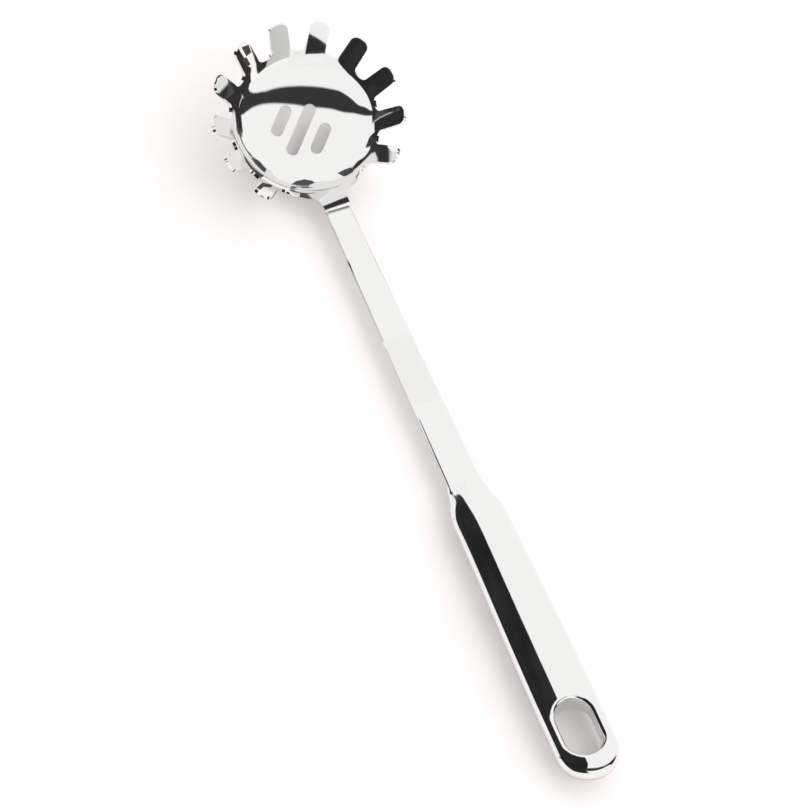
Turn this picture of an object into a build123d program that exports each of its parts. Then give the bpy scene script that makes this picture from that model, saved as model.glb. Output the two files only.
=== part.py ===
from build123d import *
from math import asin, atan2, cos, degrees, hypot, radians, sin, sqrt, tan
import os

# A pasta server of polished steel, lying as it rests on a table: the round bowl and the end of
# the grip touch the surface z = 0. X runs from the far tooth to the end of the grip, Y is across,
# and the origin is at the bottom centre of the whole tool. All lengths are in millimetres.

# Whole tool
overall_length = 341.6
head_tilt = 21.0
cut_overrun = 2.0

# Bowl: one sheet of steel, pressed round, with the share of its wall that the knuckle rounds off
# and how far inside the rim the wall is cut down to the neck
sheet = 1.3
rim_radius = 30.0
bowl_depth = 13.2
crown_radius = 50.0
wall_angle = 66.0
knuckle_share = 0.56
neck_cut_inset = 5.0

# Teeth round the rim
side_tooth_count = 5
tooth_pitch_angle = 26.5
tooth_angle = 50.0
tooth_length = 12.4
tooth_root_width = 7.6
tooth_tip_width = 6.8
tooth_tip_radius = 3.0
tooth_bend_radius = 0.5
gap_depth = 2.0
neck_gap_depth = 2.9

# Drain slots in the bottom of the bowl
slot_width = 5.0
long_slot_length = 23.0
short_slot_length = 13.6
slot_pitch = 8.6
slot_turn = 138.6

# Neck tab: it climbs out of the bowl and laps over the front end of the bar
neck_end_reach = 37.8
neck_end_width = 11.1
neck_middle_width = 12.6
neck_root_width = 20.0
neck_middle_share = 0.6
neck_root_length = 12.5

# Flat bar between the neck and the grip
bar_thickness = 2.6
bar_front_width = 10.2
bar_rear_width = 13.2
bar_edge_radius = 0.7
lap_length = 6.6
tang_width = 12.0
tang_length = 24.0

# Weld nuggets between the neck tab and the bar
nugget_diameter = 3.0
nugget_thickness = 1.0
nugget_spacing = 5.2

# Hollow grip of two half shells
grip_length = 135.8
grip_width = 24.4
grip_crown = 5.5
grip_belly = 5.1
seam_height = 4.9
shell_wall = 1.0
nose_solid_length = 7.0

# Hanging hole through the end of the grip
hole_width = 13.6
hole_length = 23.6
hole_end_wall = 8.9
hole_lip_radius = 2.2
liner_wall = 1.0

# Shape of the grip: shares of the way from its nose to the centre of its round end, with its
# width and height there as shares of the largest, how full its cross-section is, and its steps,
# of which the first ones are solid
grip_station_shares = (0.0, 0.045, 0.08, 0.118, 0.155, 0.205, 0.32, 0.56, 0.81)
grip_width_shares = (0.575, 0.66, 0.775, 0.865, 0.885, 0.895, 0.915, 0.965, 1.0)
grip_height_shares = (0.40, 0.46, 0.58, 0.72, 0.83, 0.92, 0.98, 1.0, 1.0)
section_fullness_share = 0.68
grip_step_count = 24
solid_step_count = 6

os.makedirs("parts", exist_ok=True)

# Places worked out from the sizes
tilt = radians(head_tilt)
climb = radians(tooth_angle)
tip_radius = rim_radius + tooth_length * cos(climb)
tooth_rise = tooth_length * sin(climb)
tip_corner_out = tip_radius + sheet * sin(climb)
tip_corner_up = tooth_rise - sheet * cos(climb)
grip_end_x = overall_length / 2
head_x = -grip_end_x + tip_corner_out * cos(tilt) - tip_corner_up * sin(tilt)
head_z = crown_radius + sheet - (crown_radius - bowl_depth) * cos(tilt)

# The rim's plane leans towards the handle, and the bowl's section stands on it
head_plane = Plane(
    origin=(head_x, 0, head_z),
    x_dir=(cos(tilt), 0, -sin(tilt)),
    z_dir=(sin(tilt), 0, cos(tilt)),
)
head_section = Plane(origin=head_plane.origin, x_dir=head_plane.x_dir, z_dir=(0, -1, 0))
head_axis = Axis(head_plane.origin, head_plane.z_dir)

# Corner where the crown of the bowl meets the line of its wall, before the knuckle rounds it
wall_run_per_rise = 1 / tan(radians(wall_angle))
crown_centre_up = crown_radius - bowl_depth
quad_a = 1 + wall_run_per_rise**2
quad_b = 2 * (rim_radius * wall_run_per_rise - crown_centre_up)
quad_c = rim_radius**2 + crown_centre_up**2 - crown_radius**2
corner_up = (-quad_b - sqrt(quad_b**2 - 4 * quad_a * quad_c)) / (2 * quad_a)
corner_out = rim_radius + corner_up * wall_run_per_rise
crown_arc_angle = degrees(asin(corner_out / crown_radius))
wall_length = hypot(rim_radius - corner_out, corner_up)
knuckle_turn = radians(wall_angle - crown_arc_angle)
knuckle_radius = knuckle_share * wall_length / tan(knuckle_turn / 2)

# The neck tab slopes from the near point of the rim up to its end on the bar
bar_top_z = seam_height + bar_thickness / 2
bar_bottom_z = seam_height - bar_thickness / 2
neck_end_x = head_x + neck_end_reach
rim_near_x = head_x + rim_radius * cos(tilt)
rim_near_z = head_z - rim_radius * sin(tilt)
neck_run = neck_end_x - rim_near_x
bar_climb = bar_top_z - rim_near_z
neck_slope = atan2(bar_climb, neck_run) + asin(sheet / hypot(neck_run, bar_climb))
neck_rise_per_run = tan(neck_slope)
neck_top_z = rim_near_z + neck_run * neck_rise_per_run
neck_plane = Plane(
    origin=(neck_end_x, 0, neck_top_z),
    x_dir=(1, 0, neck_rise_per_run),
    z_dir=(-neck_rise_per_run, 0, 1),
)
neck_half_angle = 180 - (side_tooth_count + 0.5) * tooth_pitch_angle
neck_cut_radius = rim_radius - neck_cut_inset
neck_cut_reach = tip_radius + sheet + cut_overrun
bar_front_x = neck_end_x - lap_length

# The grip reaches from its nose to its round end
grip_nose_x = grip_end_x - grip_length
cap_centre_x = grip_end_x - grip_width / 2
taper_length = cap_centre_x - grip_nose_x
tang_x = grip_nose_x + nose_solid_length
tang_end_x = tang_x + tang_length
hole_x = grip_end_x - hole_end_wall - hole_length / 2
seam_plane = Plane.XY.offset(seam_height)


def bowl_line():
    """Inside line of the bowl from its bottom to the rim, rounded at the knuckle."""
    CenterArc((0, crown_centre_up), crown_radius, -90, crown_arc_angle)
    Line((corner_out, corner_up), (rim_radius, 0))
    fillet(vertices().sort_by_distance((corner_out, corner_up))[0], knuckle_radius)


def tooth_gap_plane(angle):
    """Plane along the cone of the teeth, at an angle about the bowl from the handle's side."""
    outward = cos(radians(angle)) * head_plane.x_dir + sin(radians(angle)) * head_plane.y_dir
    across = sin(radians(angle)) * head_plane.x_dir - cos(radians(angle)) * head_plane.y_dir
    return Plane(
        origin=head_plane.origin + outward * rim_radius,
        x_dir=across,
        z_dir=head_plane.z_dir * cos(climb) - outward * sin(climb),
    )


def grip_section(station, width_share, height_share, inset):
    """Cross-section of the grip at a share of its length, drawn in by an inset."""
    half_width = grip_width / 2 * width_share - inset
    full_width = half_width * section_fullness_share
    place = (grip_nose_x + taper_length * station, 0, seam_height)
    with BuildSketch(Plane(origin=place, x_dir=(0, 1, 0), z_dir=(1, 0, 0))) as section:
        with BuildLine():
            for reach in (grip_crown * height_share - inset, inset - grip_belly * height_share):
                full_reach = reach * section_fullness_share
                Bezier((half_width, 0), (half_width, full_reach), (full_width, reach), (0, reach))
            mirror(about=Plane.YZ)
        make_face()
    return section.sketch


def grip_solid(inset, first_step):
    """Whole form of the grip from one of its steps to its round end, drawn in by an inset."""
    shape = Spline(*zip(grip_station_shares, grip_width_shares, grip_height_shares))
    shares = [tuple(shape @ (step / grip_step_count)) for step in range(first_step, grip_step_count + 1)]
    sections = [grip_section(*share, inset) for share in shares]
    straight_length = taper_length * (1 - grip_station_shares[-1])
    end_half = split(grip_section(1, 1, 1, inset), Plane.XZ, keep=Keep.BOTTOM)
    with BuildPart() as solid:
        loft(sections=sections, ruled=True)
        extrude(sections[-1], amount=straight_length)
        revolve(end_half, axis=Axis((cap_centre_x, 0, 0), (0, 0, -1)), revolution_arc=180)
    return solid.part


def hole_prism(margin):
    """Upright oval prism of the hanging hole, wider all round by a margin."""
    with BuildPart() as prism:
        with BuildSketch(Plane.XY.offset(-cut_overrun)):
            with Locations((hole_x, 0)):
                SlotOverall(hole_length + 2 * margin, hole_width + 2 * margin)
        extrude(amount=seam_height + grip_crown + 2 * cut_overrun)
    return prism.part


# Space inside the bowl, which trims the neck tab to the bowl's inner face
with BuildPart() as bowl_space:
    with BuildSketch(head_section):
        with BuildLine():
            bowl_line()
            Polyline((rim_radius, 0), (rim_radius, rim_radius), (0, rim_radius), (0, -bowl_depth))
        make_face()
    revolve(axis=head_axis)

# Part ring over the neck, where there are no teeth and the wall ends at the neck tab
with BuildPart() as neck_clearance:
    with BuildSketch(head_plane.offset(-bowl_depth)):
        with BuildLine():
            for reach in (neck_cut_radius, neck_cut_reach):
                CenterArc((0, 0), reach, -neck_half_angle, 2 * neck_half_angle)
            for turn in (-neck_half_angle, neck_half_angle):
                wing_start = Vector(neck_cut_radius, 0).rotate(Axis.Z, turn)
                wing_end = Vector(neck_cut_reach, 0).rotate(Axis.Z, turn)
                Line(wing_start, wing_end)
        make_face()
    extrude(amount=bowl_depth + tooth_rise + cut_overrun)
    split(bisect_by=neck_plane, keep=Keep.TOP)

# Neck tab: a flat strip of the same sheet, flared towards the bowl
with BuildPart() as neck_tab:
    with BuildSketch(neck_plane):
        with BuildLine():
            Line((0, 0), (0, neck_end_width / 2))
            ThreePointArc(
                (0, neck_end_width / 2),
                (-neck_root_length * neck_middle_share, neck_middle_width / 2),
                (-neck_root_length, neck_root_width / 2),
            )
            Polyline(
                (-neck_root_length, neck_root_width / 2),
                (-rim_radius, neck_root_width / 2),
                (-rim_radius, 0),
            )
            mirror(about=Plane.XZ)
        make_face()
    extrude(amount=-sheet)
    add(bowl_space.part, mode=Mode.SUBTRACT)

# Two weld nuggets, half in the tab and half in the bar
nugget_x = -lap_length / 2
with BuildPart() as neck_weld_nuggets:
    with BuildSketch(neck_plane.offset(-sheet - nugget_thickness / 2)):
        with Locations((nugget_x, nugget_spacing / 2), (nugget_x, -nugget_spacing / 2)):
            Circle(nugget_diameter / 2)
    extrude(amount=nugget_thickness)

# Bowl with teeth, slots and neck tab: one stamping
with BuildPart() as bowl_head:
    with BuildSketch(head_section):
        with BuildLine():
            bowl_line()
            Line((rim_radius, 0), (tip_radius, tooth_rise))
            fillet(vertices().sort_by_distance((rim_radius, 0))[0], tooth_bend_radius + sheet)
            offset(amount=sheet, side=Side.RIGHT)
        make_face()
    revolve(axis=head_axis)
    # U-shaped gaps between the teeth, deeper beside the neck
    gap_root_half = (radians(tooth_pitch_angle) * rim_radius - tooth_root_width) / 2
    gap_tip_half = (radians(tooth_pitch_angle) * tip_radius - tooth_tip_width) / 2
    gap_top = tooth_length + cut_overrun
    gap_count = 2 * side_tooth_count + 2
    for number in range(gap_count):
        beside_neck = number in (0, gap_count - 1)
        depth = neck_gap_depth if beside_neck else gap_depth
        turn_up = gap_root_half - depth
        with BuildSketch(tooth_gap_plane(neck_half_angle + number * tooth_pitch_angle)):
            with BuildLine():
                Line((gap_tip_half, gap_top), (gap_root_half, turn_up))
                ThreePointArc((gap_root_half, turn_up), (0, -depth), (-gap_root_half, turn_up))
                Polyline((-gap_root_half, turn_up), (-gap_tip_half, gap_top), (gap_tip_half, gap_top))
            make_face()
        extrude(amount=3 * sheet, both=True, mode=Mode.SUBTRACT)
    add(neck_clearance.part, mode=Mode.SUBTRACT)
    # Rounded corners of the tooth tips
    tip_corners = (
        bowl_head.edges()
        .filter_by(lambda e: abs(e.length - sheet) < sheet / 10)
        .filter_by(lambda e: head_plane.to_local_coords(e.center()).Z > tooth_rise * 3 / 4)
    )
    fillet(tip_corners, tooth_tip_radius)
    add(neck_tab.part)
    # Three diagonal drain slots
    with BuildSketch(head_plane.offset(-bowl_depth - sheet - cut_overrun)):
        with Locations(Rotation(0, 0, slot_turn)):
            SlotOverall(long_slot_length, slot_width)
            with Locations((0, slot_pitch), (0, -slot_pitch)):
                SlotOverall(short_slot_length, slot_width)
    extrude(amount=bowl_depth, mode=Mode.SUBTRACT)
    add(neck_weld_nuggets.part, mode=Mode.SUBTRACT)

# Flat tapered bar with its tang, and its front end bent down along the underside of the tab
with BuildPart() as shank_bar:
    with BuildSketch(Plane.XY.offset(bar_bottom_z)):
        with BuildLine():
            Polyline(
                (neck_end_x, 0),
                (neck_end_x, bar_front_width / 2),
                (grip_nose_x, bar_rear_width / 2),
                (tang_x, bar_rear_width / 2),
                (tang_x, tang_width / 2),
                (tang_end_x, tang_width / 2),
                (tang_end_x, 0),
            )
            mirror(about=Plane.XZ)
        make_face()
    extrude(amount=bar_thickness)
    long_edges = (
        shank_bar.edges()
        .filter_by(lambda e: e.length > nose_solid_length - sheet)
        .filter_by(lambda e: abs(e.center().Y) > bar_front_width / 4)
        .filter_by(lambda e: e.center().X < tang_x)
    )
    fillet(long_edges, bar_edge_radius)
    with BuildSketch(Plane.XZ):
        with BuildLine():
            lap_drop = lap_length * neck_rise_per_run
            Polyline(
                (neck_end_x, bar_top_z),
                (bar_front_x, bar_top_z - lap_drop),
                (bar_front_x, bar_bottom_z - lap_drop),
                (neck_end_x, bar_bottom_z),
                close=True,
            )
        make_face()
    extrude(amount=bar_front_width / 2 - bar_edge_radius, both=True)
    add(neck_weld_nuggets.part, mode=Mode.SUBTRACT)

# Outside form of the whole grip, with the lips of the hanging hole rounded and a flat land below
with BuildPart() as grip_form:
    add(grip_solid(0, 0))
    add(hole_prism(0), mode=Mode.SUBTRACT)
    lips = (
        grip_form.edges()
        .filter_by(Axis.Z, reverse=True)
        .filter_by(lambda e: abs(e.center().X - hole_x) < hole_length / 2 + sheet)
        .filter_by(lambda e: abs(e.center().Y) < hole_width / 2 + sheet)
        .filter_by(lambda e: abs(e.center().Z - seam_height) > sheet)
    )
    fillet(lips, hole_lip_radius)
    split(bisect_by=Plane.XY, keep=Keep.TOP)

# Liner of the hanging hole: an oval sleeve with rounded lips
liner_prism = hole_prism(liner_wall)
with BuildPart() as hanging_hole_liner:
    add(grip_form.part)
    add(liner_prism, mode=Mode.INTERSECT)


# Space inside the grip, kept clear of the liner by a wall
with BuildPart() as grip_hollow:
    add(grip_solid(shell_wall, solid_step_count))
    add(hole_prism(liner_wall + shell_wall), mode=Mode.SUBTRACT)

# Upper and lower shells of the grip, which meet at the seam and close round the bar's tang
with BuildPart() as grip_shells:
    add(grip_form.part)
    add(liner_prism, mode=Mode.SUBTRACT)
    add(grip_hollow.part, mode=Mode.SUBTRACT)
    add(shank_bar.part, mode=Mode.SUBTRACT)
grip_upper_shell = split(grip_shells.part, seam_plane, keep=Keep.TOP)
grip_lower_shell = split(grip_shells.part, seam_plane, keep=Keep.BOTTOM)

bowl_head.part.label = "bowl_head"
export_step(bowl_head.part, "parts/bowl_head.step")
shank_bar.part.label = "shank_bar"
export_step(shank_bar.part, "parts/shank_bar.step")
neck_weld_nuggets.part.label = "neck_weld_nuggets"
export_step(neck_weld_nuggets.part, "parts/neck_weld_nuggets.step")
grip_upper_shell.label = "grip_upper_shell"
export_step(grip_upper_shell, "parts/grip_upper_shell.step")
grip_lower_shell.label = "grip_lower_shell"
export_step(grip_lower_shell, "parts/grip_lower_shell.step")
hanging_hole_liner.part.label = "hanging_hole_liner"
export_step(hanging_hole_liner.part, "parts/hanging_hole_liner.step")
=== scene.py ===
from math import asin, cos, radians, sin

import bpy
import numpy as np
from mathutils import Matrix, Vector


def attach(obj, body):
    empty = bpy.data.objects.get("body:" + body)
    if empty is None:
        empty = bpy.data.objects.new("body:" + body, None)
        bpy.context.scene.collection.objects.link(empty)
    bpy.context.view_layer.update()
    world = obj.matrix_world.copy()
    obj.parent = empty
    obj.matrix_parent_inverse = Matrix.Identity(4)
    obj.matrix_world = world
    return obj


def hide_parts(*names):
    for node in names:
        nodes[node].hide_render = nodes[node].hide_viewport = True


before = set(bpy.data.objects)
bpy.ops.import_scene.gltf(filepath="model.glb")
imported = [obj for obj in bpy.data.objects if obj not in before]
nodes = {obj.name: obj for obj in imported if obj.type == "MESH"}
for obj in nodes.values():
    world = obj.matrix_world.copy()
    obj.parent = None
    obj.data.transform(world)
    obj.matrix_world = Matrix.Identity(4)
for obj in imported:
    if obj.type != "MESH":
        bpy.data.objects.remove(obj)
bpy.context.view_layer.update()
scene = bpy.context.scene

# Sizes of the grip, in metres, as in the CAD
GRIP_NOSE = 0.035
CAP_CENTRE = 0.1586
SEAM = 0.0049
HALF_WIDTH = 0.0122
CROWN = 0.0055
BELLY = 0.0051
FULLNESS = 0.68
STATIONS = (0.0, 0.045, 0.08, 0.118, 0.155, 0.205, 0.32, 0.56, 0.81)
WIDTHS = (0.575, 0.66, 0.775, 0.865, 0.885, 0.895, 0.915, 0.965, 1.0)
HEIGHTS = (0.40, 0.46, 0.58, 0.72, 0.83, 0.92, 0.98, 1.0, 1.0)

# The shading of the grip's nose: a steep rise from the bar, with a flatter cross-section
NOSE_SLOPE = 6.5
NOSE_SPAN = 0.065
NOSE_ROUNDNESS = 0.25
NOSE_ROUNDING_SPAN = 0.06

# Sizes of the head, in metres, as in the CAD
HEAD = Vector((-0.1375264, 0, 0.0169442))
TILT = radians(21.0)
CROWN_RADIUS = 0.05
TOOTH_CLIMB = radians(50.0)

# The shading of the bowl's edge, between its crown and the teeth, and of the neck's bend
CROWN_EDGE = 0.021
TOOTH_ROOT = 0.031
NECK_START = -0.1075
NECK_BEND_LENGTH = 0.0075
NECK_HALF = 0.0115
NECK_BEND = radians(15.0)

# A corner of a face is shaded smoothly where its own direction and the smooth one agree by this
# much, as the cosine of the angle between them
GRIP_AGREEMENT = 0.94
HEAD_AGREEMENT = 0.9

# Keeps a division by zero away
TINY = 1e-9

# The photograph's viewpoint: lens and sensor in millimetres, the rest in metres
LENS = 224.97
SENSOR = 36.0
FAR = 20
CAMERA_PLACE = Vector((0.970286, -0.442992, 1.626493))
CAMERA_RIGHT = Vector((0.360147, 0.932306, 0.033167))
CAMERA_UP = Vector((-0.785846, 0.284027, 0.54934))
CAMERA_BACK = Vector((0.502732, -0.223908, 0.83494))

# The table, in metres: its size, its drop under the object and the soft shadow painted on it under
# the bowl
TABLE_SIZE = 12
TABLE_DROP = 0.0002
TABLE_GLOW = 0.05
PAINTED_SHADOW_CENTRE = (-0.141, 0.0, 0.0)
PAINTED_SHADOW_INSIDE = 0.018
PAINTED_SHADOW_OUTSIDE = 0.03
PAINTED_SHADOW_LEVEL = 0.66

# The studio: the level that the steel sees, and the light on the table from the left, from the
# right and from overhead
STUDIO_LEVEL = 1.04
LEFT_LIGHT = 0.95
RIGHT_LIGHT = 2.2
OVERHEAD_LIGHT = 0.25
WARMTH = 0.06

# Degrees in one radian
DEGREES = 57.2958

# Edges of the studio's dark slit, in degrees: (north, east) of straight up
SLIT_SOFTNESS = 1.5
SLIT_RANGE = 100.0
SLIT_OUTER = (
    (-90, -40), (-70, -18), (-63, -5.5), (-50, 7), (-40, 22), (-26, 34.4), (-8, 43.6), (11, 48),
    (27, 48), (42, 45), (60, 46), (75, 52), (90, 58),
)
SLIT_INNER = (
    (-90, -46), (-75, -34), (-65, -21), (-46, -4), (-30, 7.8), (-19, 17.5), (0, 26.5), (15, 32.2),
    (40, 34), (57, 28), (75, 19), (90, 12),
)

# Outline of the card over the left of the grip, in millimetres
GRIP_CARD_HEIGHT = 55
GRIP_CARD = (
    (-26, 3), (-20, 5.5), (-12, 6.5), (5, 6.5), (20, 5), (40, 3), (60, 2.2), (117, 1.8),
    (160, 0), (172, -2), (185, -8), (200, -20), (260, -24), (260, -170), (20, -170),
    (-34, -130), (-31, -60), (-31, -38), (-29, -23), (-25, -8),
)

# Outline of the upright card to the left of the head, in millimetres
LEFT_CARD_PLACE = -100
LEFT_CARD = (
    (-250, 0.5), (-28, 0.5), (-30, 14), (-60, 32), (-80, 40), (-140, 46), (-200, 60), (-250, 66),
)

# Corners of the small cards close to the bowl's rim and to the left teeth, in millimetres
RIM_CARDS = (
    ((-147.7, -20.1, 15.3), (-144.1, -19.6, 13.3), (-142.5, -19.9, 12.6), (-145, -21.4, 14.1)),
    (
        (-137.6, -22.4, 11), (-136.2, -19.1, 9.9), (-133.8, -16.7, 8.8), (-130.7, -15.8, 7.5),
        (-128.4, -17.8, 6.8), (-130.4, -19.7, 7.8), (-133.9, -21.7, 9.5),
    ),
    (
        (-123.2, -10, 4.6), (-124.6, -7, 5.2), (-124.4, -4.2, 5), (-123.2, -1.8, 4.8),
        (-122, -1.4, 4.4), (-122, -4, 4.4), (-122.6, -8.6, 4.4),
    ),
    (
        (-123.1, 7, 5.3), (-123.7, 9.3, 5.8), (-123.6, 11.6, 5.9), (-122.8, 13, 6),
        (-121.2, 11.5, 5.4), (-120.9, 8.9, 4.8),
    ),
)
TOOTH_CARDS = (
    (
        (-156.9, -34.4, 35.3), (-160.6, -29.4, 35.7), (-155.5, -21.8, 27.9),
        (-154.2, -19.7, 22.8), (-152.2, -23.8, 25.2), (-151.1, -33.4, 27.8),
    ),
    (
        (-116.9, -26.5, 15.5), (-121.4, -22.3, 10.9), (-115.9, -19.3, 6.9),
        (-109.3, -22.5, 10.6), (-106.6, -30.6, 16.6),
    ),
    ((-163, -13.9, 36.2), (-163.7, -11, 35.5), (-162.4, -10.1, 31.6), (-161.7, -12.3, 31.3)),
    ((-161.2, -14.5, 31.9), (-161.5, -12.3, 30.9), (-160.5, -11, 27), (-160, -12.8, 27.4)),
)


# Helpers for node trees
class Tree:
    """Short calls for building a node tree."""

    def __init__(self, tree):
        self.nodes = tree.nodes
        self.links = tree.links
        self.nodes.clear()

    def add(self, kind, **values):
        """A node, with its properties and inputs set by name."""
        node = self.nodes.new(kind)
        for name, value in values.items():
            if hasattr(node, name):
                setattr(node, name, value)
            else:
                self.put(node.inputs[name.replace("_", " ")], value)
        return node

    def put(self, socket, value):
        """Links or sets a socket."""
        if hasattr(value, "is_output"):
            self.links.new(value, socket)
        else:
            socket.default_value = value

    def math(self, operation, *values):
        """A math node's result."""
        node = self.nodes.new("ShaderNodeMath")
        node.operation = operation
        for socket, value in zip(node.inputs, values):
            self.put(socket, value)
        return node.outputs[0]

    def ramp(self, value, low, high, start=0.0, end=1.0):
        """A value mapped smoothly from low..high to start..end."""
        node = self.nodes.new("ShaderNodeMapRange")
        node.interpolation_type = "SMOOTHSTEP"
        for socket, item in zip(node.inputs, (value, low, high, start, end)):
            self.put(socket, item)
        return node.outputs[0]

    def curve(self, value, points, most):
        """A smooth curve through points, over the range -most..most both ways."""
        node = self.nodes.new("ShaderNodeFloatCurve")
        line = node.mapping.curves[0]
        spots = [((a + most) / (2 * most), (b + most) / (2 * most)) for a, b in points]
        line.points[0].location = spots[0]
        line.points[1].location = spots[-1]
        for spot in spots[1:-1]:
            line.points.new(*spot)
        node.mapping.update()
        share = self.math("DIVIDE", self.math("ADD", value, most), 2 * most)
        self.put(node.inputs["Value"], share)
        return self.math("SUBTRACT", self.math("MULTIPLY", node.outputs[0], 2 * most), most)

    def noise(self, vector, scale, detail=2.0, roughness=0.5):
        """A noise texture's grey value."""
        node = self.add("ShaderNodeTexNoise", Scale=scale, Detail=detail, Roughness=roughness)
        self.put(node.inputs["Vector"], vector)
        return node.outputs["Fac"]

    def stretch(self, vector, scale):
        """A vector scaled along each axis."""
        node = self.add("ShaderNodeVectorMath", operation="MULTIPLY")
        self.put(node.inputs[0], vector)
        self.put(node.inputs[1], scale)
        return node.outputs[0]

    def split(self, vector):
        """A vector's three numbers."""
        node = self.nodes.new("ShaderNodeSeparateXYZ")
        self.put(node.inputs[0], vector)
        return node.outputs

    def colour(self, red, green, blue):
        """A colour from three numbers."""
        node = self.nodes.new("ShaderNodeCombineColor")
        for socket, value in zip(node.inputs, (red, green, blue)):
            self.put(socket, value)
        return node.outputs[0]

    def finish(self, shader, kind="ShaderNodeOutputMaterial"):
        """Links a shader to the tree's output."""
        self.put(self.add(kind).inputs[0], shader.outputs[0])


def make_camera():
    """The photograph's viewpoint: two metres away with a long lens."""
    data = bpy.data.cameras.new("camera")
    data.sensor_width = SENSOR
    data.lens = LENS
    data.clip_end = FAR
    camera = bpy.data.objects.new("camera", data)
    scene.collection.objects.link(camera)
    turn = Matrix((CAMERA_RIGHT, CAMERA_UP, CAMERA_BACK)).transposed().to_4x4()
    camera.matrix_world = Matrix.Translation(CAMERA_PLACE) @ turn
    scene.camera = camera


# Materials
def new_material(name):
    """A material and its empty node tree."""
    material = bpy.data.materials.new(name)
    material.use_nodes = True
    return material, Tree(material.node_tree)


def steel_material(name, tint, rough, direction, painted_seam_shade=False):
    """Mirror-polished stainless steel with faint polishing lines along one direction, and if asked
    a thin line of painted shade at the grip's seam.
    """
    material, t = new_material(name)
    place = t.add("ShaderNodeTexCoord").outputs["Object"]
    lines = t.noise(t.stretch(place, direction), 900.0, detail=3.0, roughness=0.6)
    cloud = t.noise(place, 60.0, detail=3.0)
    wave = t.noise(place, 22.0, detail=1.0)
    scratch = t.ramp(lines, 0.35, 0.75, rough, rough * 1.7)
    roughness = t.math("ADD", scratch, t.ramp(cloud, 0.4, 0.8, 0.0, rough * 0.5))
    shade = t.ramp(cloud, 0.3, 0.8, 0.985, 1.0)
    if painted_seam_shade:
        # Painted shade: a thin dark line where the grip's halves meet, standing in for the shade
        # of a groove at that joint
        off = t.math("ABSOLUTE", t.math("SUBTRACT", t.split(place)[2], SEAM))
        shade = t.math("MULTIPLY", shade, t.ramp(off, 0.00008, 0.0002, 0.35, 1.0))
    colour = t.add("ShaderNodeVectorMath", operation="SCALE", Scale=shade)
    t.put(colour.inputs[0], tint)
    height = t.math("ADD", t.math("MULTIPLY", lines, 0.02), wave)
    bump = t.add("ShaderNodeBump", Strength=0.02, Distance=0.0004, Height=height)
    shader = t.add("ShaderNodeBsdfPrincipled", Metallic=1.0, Roughness=roughness)
    t.put(shader.inputs["Base Color"], colour.outputs[0])
    t.put(shader.inputs["Normal"], bump.outputs[0])
    t.finish(shader)
    return material


def card_material(name, low, high):
    """Cloth of the studio's cards."""
    material, t = new_material(name)
    place = t.add("ShaderNodeTexCoord").outputs["Object"]
    level = t.ramp(t.noise(place, 30.0), 0.3, 0.7, low, high)
    t.finish(t.add("ShaderNodeEmission", Strength=level))
    return material


def table_material():
    """A plain white table, with a soft shadow painted on it where the bowl touches it."""
    material, t = new_material("white_table")
    place = t.add("ShaderNodeTexCoord").outputs["Object"]
    shade = t.ramp(t.noise(place, 40.0, detail=3.0), 0.3, 0.7, 0.93, 0.95)
    # A shadow is painted on the table: it is darker around the place under the bowl, where the
    # bowl's shade falls
    spot = t.add("ShaderNodeVectorMath", operation="DISTANCE")
    t.put(spot.inputs[0], place)
    t.put(spot.inputs[1], PAINTED_SHADOW_CENTRE)
    painted_shadow = t.ramp(spot.outputs["Value"], PAINTED_SHADOW_INSIDE, PAINTED_SHADOW_OUTSIDE, PAINTED_SHADOW_LEVEL, 1.0)
    shade = t.math("MULTIPLY", shade, painted_shadow)
    diffuse = t.add("ShaderNodeBsdfDiffuse", Color=t.colour(shade, shade, shade))
    # A faint glow for the camera and the steel keeps the table white
    paths = t.add("ShaderNodeLightPath").outputs
    seen = t.math("MAXIMUM", paths["Is Camera Ray"], paths["Is Glossy Ray"])
    glow = t.add("ShaderNodeEmission", Strength=t.math("MULTIPLY", seen, TABLE_GLOW))
    both = t.add("ShaderNodeAddShader")
    t.put(both.inputs[0], diffuse.outputs[0])
    t.put(both.inputs[1], glow.outputs[0])
    t.finish(both)
    return material


# Table, light and cards
def make_table():
    """A plain table under the object."""
    bpy.ops.mesh.primitive_plane_add(size=TABLE_SIZE, location=(0, 0, -TABLE_DROP))
    table = bpy.context.object
    table.name = "table"
    table.data.materials.append(table_material())


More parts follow.
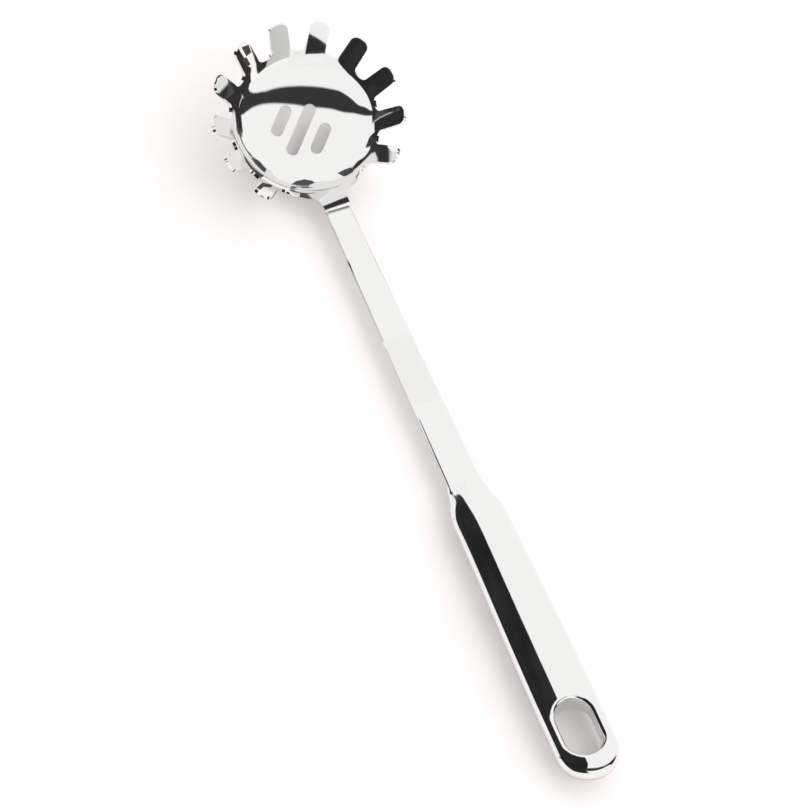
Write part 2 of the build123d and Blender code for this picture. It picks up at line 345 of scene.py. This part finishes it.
def make_world():
    """A white studio with a dark slit, and the light on the table."""
    world = bpy.data.worlds.new("studio")
    scene.world = world
    world.use_nodes = True
    t = Tree(world.node_tree)
    x, y, z = t.split(t.add("ShaderNodeTexCoord").outputs["Generated"])
    # Degrees away from straight up, laid out on a flat map
    flat = t.math("SQRT", t.math("ADD", t.math("MULTIPLY", x, x), t.math("MULTIPLY", y, y)))
    lean = t.math("MULTIPLY", t.math("ARCCOSINE", z), DEGREES)
    stretch = t.math("DIVIDE", lean, t.math("MAXIMUM", flat, 0.0001))
    east = t.math("MULTIPLY", x, stretch)
    north = t.math("MULTIPLY", y, stretch)
    # The slit lies between two curved edges
    outer = t.curve(north, SLIT_OUTER, SLIT_RANGE)
    inner = t.curve(north, SLIT_INNER, SLIT_RANGE)
    inside = t.math("MINIMUM", t.math("SUBTRACT", outer, east), t.math("SUBTRACT", east, inner))
    slit = t.ramp(inside, -SLIT_SOFTNESS, SLIT_SOFTNESS)
    studio = t.math("SUBTRACT", STUDIO_LEVEL, slit)
    # The steel sees the studio and the camera sees white
    paths = t.add("ShaderNodeLightPath").outputs
    level = t.math("MULTIPLY", paths["Is Glossy Ray"], studio)
    level = t.math("ADD", level, paths["Is Camera Ray"])
    # The table is lit more from the right, less from overhead and a little warmer
    other = t.math("MAXIMUM", paths["Is Glossy Ray"], paths["Is Camera Ray"])
    other = t.math("SUBTRACT", 1.0, other)
    sideways = t.ramp(y, -0.6, 0.7, LEFT_LIGHT, RIGHT_LIGHT)
    soft = t.math("MULTIPLY", sideways, t.ramp(z, 0.6, 0.95, 1.0, OVERHEAD_LIGHT))
    level = t.math("ADD", level, t.math("MULTIPLY", other, soft))
    warmth = t.math("ADD", 1.0, t.math("MULTIPLY", other, WARMTH))
    red = t.math("MULTIPLY", level, warmth)
    back = t.add("ShaderNodeBackground", Color=t.colour(red, level, level))
    t.finish(back, "ShaderNodeOutputWorld")


def make_card(name, material, corners):
    """A card of the studio that only the steel sees, with its corners in millimetres."""
    mesh = bpy.data.meshes.new(name)
    places = [[value / 1000 for value in corner] for corner in corners]
    mesh.from_pydata(places, [], [tuple(range(len(places)))])
    mesh.materials.append(material)
    card = bpy.data.objects.new(name, mesh)
    scene.collection.objects.link(card)
    for ray in ("camera", "diffuse", "shadow", "transmission", "volume_scatter"):
        setattr(card, "visible_" + ray, False)


def upright(x0, y0, x1, y1, low, high):
    """Corners of an upright card over a line."""
    return [(x0, y0, low), (x1, y1, low), (x1, y1, high), (x0, y0, high)]


def make_cards():
    """All the studio's cards."""
    black = card_material("card_black", 0.018, 0.03)
    dark = card_material("card_dark", 0.06, 0.09)
    white = card_material("card_white", 1.0, 1.03)
    grey = card_material("card_grey", 0.62, 0.7)
    # The dark stripe of the grip, and a white card that hides it from the bowl
    make_card("grip_card", black, [(x, y, GRIP_CARD_HEIGHT) for x, y in GRIP_CARD])
    make_card("hiding_card", white, upright(-36, -200, -36, 20, 1, 60))
    # Low cards that the teeth see
    make_card("left_card", black, [(x, LEFT_CARD_PLACE, z) for x, z in LEFT_CARD])
    make_card("right_card", black, upright(-150, 60, -97, 60, 0.5, 16))
    make_card("near_card", black, upright(-78, -60, -78, -8, 0.5, 13.6))
    make_card("grey_card", grey, upright(-78, 10, -78, 50, 0.5, 14))
    # Small dark cards that draw the lenses at the rim and the dark parts of the left teeth
    for kind, cards in (("rim", RIM_CARDS), ("tooth", TOOTH_CARDS)):
        for number, corners in enumerate(cards, 1):
            make_card(f"{kind}_card_{number}", dark, corners)


# The grip's smooth form, which its shading follows
def spline_bends(knots, values):
    """Second slopes of the natural cubic curve through some points."""
    count = len(knots)
    gaps = np.diff(knots)
    steps = np.diff(values) / gaps
    matrix = np.eye(count)
    right = np.zeros(count)
    for i in range(1, count - 1):
        matrix[i, i - 1 : i + 2] = gaps[i - 1], 2 * (gaps[i - 1] + gaps[i]), gaps[i]
        right[i] = 6 * (steps[i] - steps[i - 1])
    return np.linalg.solve(matrix, right)


def spline_at(knots, values, at):
    """Value and slope of that curve at some places; it runs on level past its end."""
    second = spline_bends(knots, values)
    knots = np.array(knots)
    values = np.array(values)
    inside = np.clip(at, knots[0], knots[-1])
    i = np.clip(np.searchsorted(knots, inside) - 1, 0, len(knots) - 2)
    gap = knots[i + 1] - knots[i]
    a = (knots[i + 1] - inside) / gap
    b = (inside - knots[i]) / gap
    bulge = ((a**3 - a) * second[i] + (b**3 - b) * second[i + 1]) * gap**2 / 6
    value = a * values[i] + b * values[i + 1] + bulge
    turn = ((3 * b**2 - 1) * second[i + 1] - (3 * a**2 - 1) * second[i]) * gap / 6
    slope = (values[i + 1] - values[i]) / gap + turn
    return value, np.where(at > knots[-1], 0.0, slope)


def quarter(t):
    """A quarter of the grip's cross-section and its direction, on the unit square."""
    s = 1 - t
    out = s**3 + 3 * s**2 * t + 3 * s * t**2 * FULLNESS
    up = 3 * s**2 * t * FULLNESS + 3 * s * t**2 + t**3
    out_step = 6 * s * t * (FULLNESS - 1) - 3 * t**2 * FULLNESS
    up_step = 3 * s**2 * FULLNESS + 6 * s * t * (1 - FULLNESS)
    return out, up, out_step, up_step


def quarter_at(angle):
    """How far along the quarter of the cross-section an angle lies."""
    steps = np.linspace(0, 1, 400)
    out, up = quarter(steps)[:2]
    return np.interp(angle, np.arctan2(up, out), steps)


def grip_normals(points):
    """The direction that the grip's smooth outside faces at each point."""
    x, y, z = points.T
    taper = CAP_CENTRE - GRIP_NOSE
    station = (x - GRIP_NOSE) / taper
    width, width_slope = spline_at(STATIONS, WIDTHS, station)
    height, height_slope = spline_at(STATIONS, HEIGHTS, station)
    # The nose rises steeply from the bar
    nose = np.exp(-((station / NOSE_SPAN) ** 2))
    height_slope = height_slope + (NOSE_SLOPE - height_slope) * nose
    rise = np.where(z >= SEAM, CROWN, BELLY)
    out_size = HALF_WIDTH * width
    up_size = rise * height
    # Beyond the centre of the round end the cross-section turns about that centre
    beyond = np.maximum(x - CAP_CENTRE, 0)
    reach = np.hypot(beyond, y)
    angle = np.arctan2(np.abs(z - SEAM) / up_size, reach / out_size)
    out, up, out_step, up_step = quarter(quarter_at(angle))
    # Cross product of the directions along the section and along the grip
    start = np.clip(station / NOSE_ROUNDING_SPAN, 0, 1)
    roundness = NOSE_ROUNDNESS + (1 - NOSE_ROUNDNESS) * start**2 * (3 - 2 * start)
    face_out = up_size * up_step * roundness
    face_up = -out_size * out_step
    sideways = face_out * HALF_WIDTH * width_slope * out
    upwards = face_up * rise * height_slope * up
    along = -(sideways + upwards) / taper
    side = np.where(reach > 0, y / np.maximum(reach, TINY), 0)
    ahead = np.where(reach > 0, beyond / np.maximum(reach, TINY), 0)
    normals = np.stack((face_out * ahead + along, face_out * side, face_up * np.sign(z - SEAM)), 1)
    return normals / np.linalg.norm(normals, axis=1)[:, None]


def head_normals(points):
    """The direction that the bowl's smooth inside faces at each point, from crown to teeth."""
    x, y, z = (points - np.array(HEAD)).T
    across = x * cos(TILT) - z * sin(TILT)
    reach = np.hypot(across, y)
    start = asin(CROWN_EDGE / CROWN_RADIUS)
    start_slope = 1 / (CROWN_RADIUS * cos(start))
    span = TOOTH_ROOT - CROWN_EDGE
    u = np.clip((reach - CROWN_EDGE) / span, 0, 1)
    sweep = start * (2 * u**3 - 3 * u**2 + 1) + start_slope * span * (u**3 - 2 * u**2 + u)
    climb = sweep + TOOTH_CLIMB * (3 * u**2 - 2 * u**3)
    climb = np.where(reach < CROWN_EDGE, np.arcsin(np.clip(reach / CROWN_RADIUS, 0, 1)), climb)
    # The neck bends over towards the bar
    bend = np.clip((points[:, 0] - NECK_START) / NECK_BEND_LENGTH, 0, 1)
    climb = climb - NECK_BEND * bend * (np.abs(y) < NECK_HALF)
    inward = -np.sin(climb) / np.maximum(reach, TINY)
    nx, ny, nz = inward * across, inward * y, np.cos(climb)
    return np.stack((nx * cos(TILT) + nz * sin(TILT), ny, nz * cos(TILT) - nx * sin(TILT)), 1)


def smooth_copy(name, new_name, facing, agreement):
    """A copy of a node, shaded as a smooth surface wherever the two nearly agree."""
    piece = nodes[name].copy()
    piece.data = nodes[name].data.copy()
    piece.name = new_name
    scene.collection.objects.link(piece)
    mesh = piece.data
    points = np.empty(len(mesh.vertices) * 3)
    mesh.vertices.foreach_get("co", points)
    corner = np.empty(len(mesh.loops), int)
    mesh.loops.foreach_get("vertex_index", corner)
    old = np.empty(len(mesh.loops) * 3)
    mesh.corner_normals.foreach_get("vector", old)
    old = old.reshape(-1, 3)
    new = facing(points.reshape(-1, 3)[corner])
    close = np.einsum("ij,ij->i", old, new) > agreement
    mesh.normals_split_custom_set(np.where(close[:, None], new, old))
    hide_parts(name)
    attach(piece, "root")


# The steel on each node
tint = (0.86, 0.855, 0.85)
steel_long = steel_material("polished_steel_along", tint, 0.035, (0.02, 1.0, 1.0), painted_seam_shade=True)
steel_round = steel_material("polished_steel_round", tint, 0.03, (1.0, 1.0, 1.0))
weld_steel = steel_material("weld_steel", (0.5, 0.5, 0.5), 0.3, (1.0, 1.0, 1.0))
steels = {
    "bowl_head": steel_round,
    "hanging_hole_liner": steel_round,
    "neck_weld_nuggets": weld_steel,
}
for name, node in nodes.items():
    node.data.materials.clear()
    node.data.materials.append(steels.get(name, steel_long))

smooth_copy("grip_upper_shell", "grip_upper_half", grip_normals, GRIP_AGREEMENT)
smooth_copy("grip_lower_shell", "grip_lower_half", grip_normals, GRIP_AGREEMENT)
smooth_copy("bowl_head", "toothed_bowl", head_normals, HEAD_AGREEMENT)

make_camera()
make_table()
make_world()
make_cards()
scene.view_settings.view_transform = "Standard"
